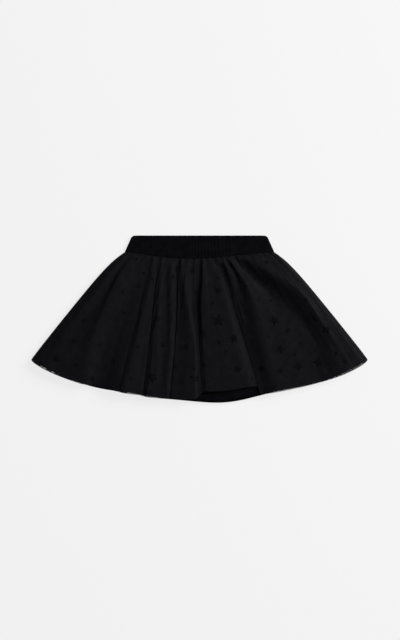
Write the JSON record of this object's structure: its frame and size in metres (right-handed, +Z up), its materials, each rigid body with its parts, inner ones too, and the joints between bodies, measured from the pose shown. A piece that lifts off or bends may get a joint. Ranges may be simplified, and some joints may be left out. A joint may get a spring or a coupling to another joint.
{
  "type": "gathered tulle skirt",
  "caption": "Child's gathered net skirt with a plain lining and an elastic waistband, laid flat, face up, with overlapping soft folds.",
  "frame": {"origin": "on the surface that the skirt lies on, under the middle of its box", "axes": "+X across the skirt towards the right of its front as seen, +Y towards the waist, +Z up from the surface"},
  "size_m": [0.5064, 0.2502, 0.0182],
  "materials": {
    "elastic": "ribbed black covered elastic, matt",
    "net": "black tulle with small stars, faint sheen",
    "lining": "black plain jersey, matt"
  },
  "bodies": {
    "root": {"waistband": "elastic", "tulle_front": "net", "tulle_back": "net", "lining_front": "lining", "lining_back": "lining"}
  },
  "joints": []
}
